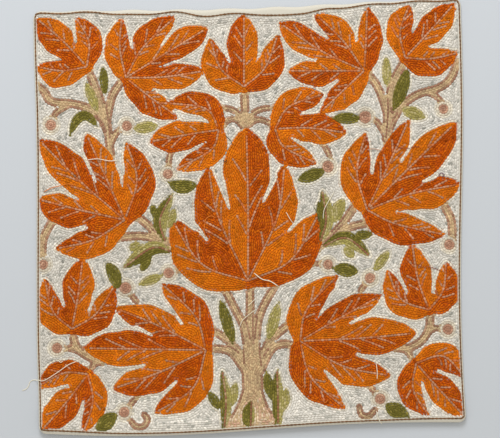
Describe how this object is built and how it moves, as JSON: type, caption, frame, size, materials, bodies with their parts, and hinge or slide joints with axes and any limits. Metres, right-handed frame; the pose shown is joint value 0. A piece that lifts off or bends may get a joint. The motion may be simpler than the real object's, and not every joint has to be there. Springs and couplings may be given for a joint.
{
  "type": "crewel embroidery panel",
  "caption": "Square cotton panel filled with wool chain stitching, an autumn leaf tree on a pale ground, for a cushion front or a wall piece.",
  "frame": {"origin": "on the resting plane, under the middle of the panel's outer box", "axes": "+X across the panel, +Y up the design towards its top edge, +Z out of the stitched face"},
  "size_m": [0.4634, 0.4594, 0.0076],
  "materials": {
    "ground_wool": "matt wool chain stitch, off-white",
    "edge_wool": "matt wool stitch, brown",
    "hem_cotton": "plain cotton, cream",
    "leaf_wool": "matt wool chain stitch, orange and rust",
    "vein_wool": "matt wool chain stitch, dusty pink-beige",
    "branch_wool": "matt wool chain stitch, tan and brown",
    "green_wool": "matt wool chain stitch, olive green",
    "loose_thread": "fine wool thread"
  },
  "bodies": {
    "root": {"ground_cloth": "ground_wool", "edge_row": "edge_wool"}
  },
  "joints": []
}
